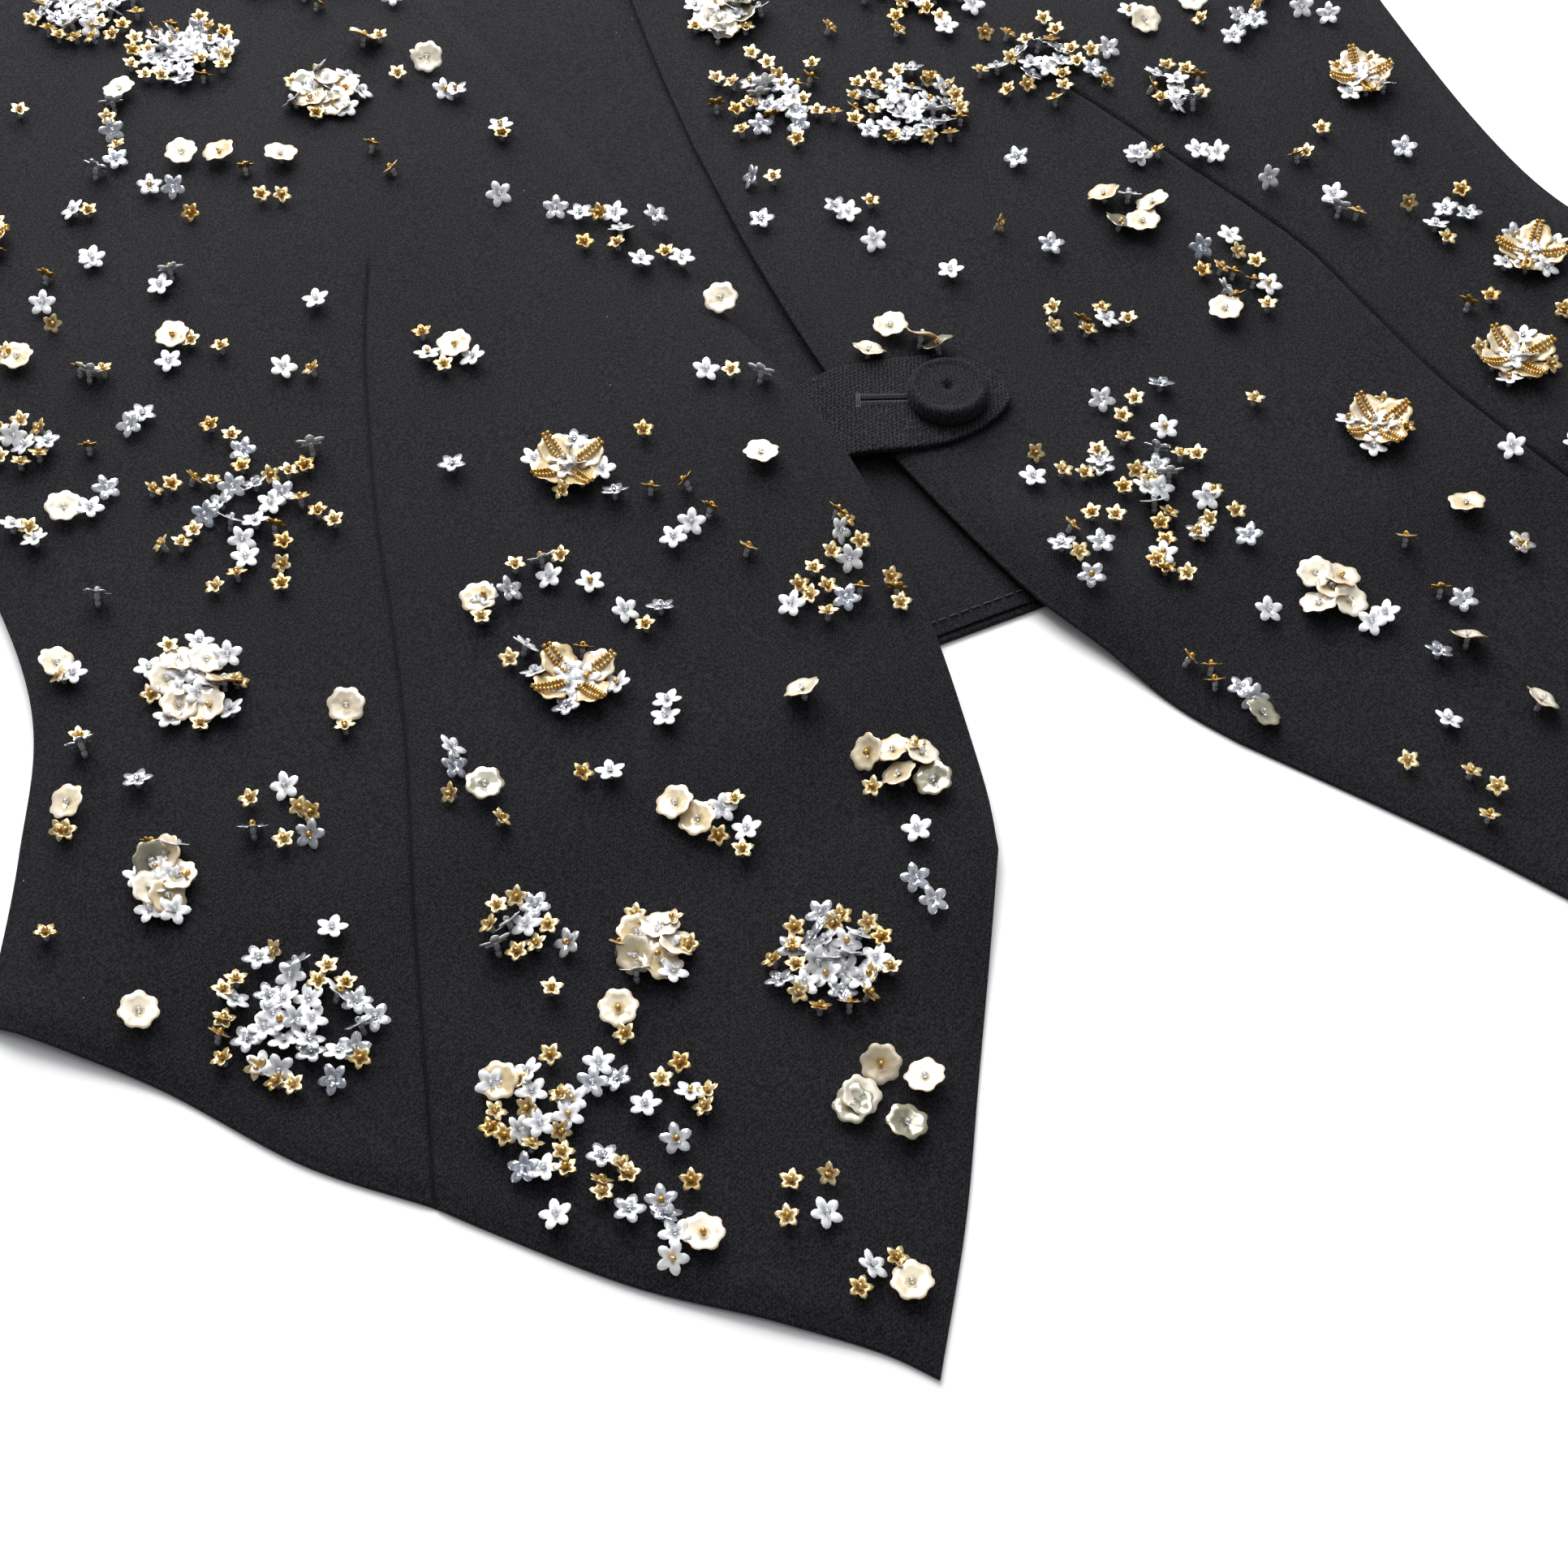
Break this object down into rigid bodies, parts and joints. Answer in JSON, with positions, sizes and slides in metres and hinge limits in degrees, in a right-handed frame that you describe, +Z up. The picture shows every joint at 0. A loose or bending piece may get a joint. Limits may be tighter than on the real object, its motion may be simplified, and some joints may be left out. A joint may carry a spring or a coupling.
{
  "type": "waistcoat",
  "caption": "Black cloth waistcoat with long pointed darted fronts, joined at the waist by a pointed tab and a cloth-covered button, laid flat on its back.",
  "frame": {"origin": "centre back at the waist, on the underside of the back, where the garment lies on a surface", "axes": "+Z up away from the surface, +Y towards the neck, +X towards the wearer's left"},
  "size_m": [0.474, 0.645, 0.0141],
  "materials": {
    "wool_twill": "matte black fine twill",
    "lining": "smooth black lining cloth"
  },
  "bodies": {
    "root": {"back": "wool_twill", "back_lining": "lining", "right_front": "wool_twill", "left_front": "wool_twill", "tab": "wool_twill", "button": "wool_twill"}
  },
  "joints": []
}
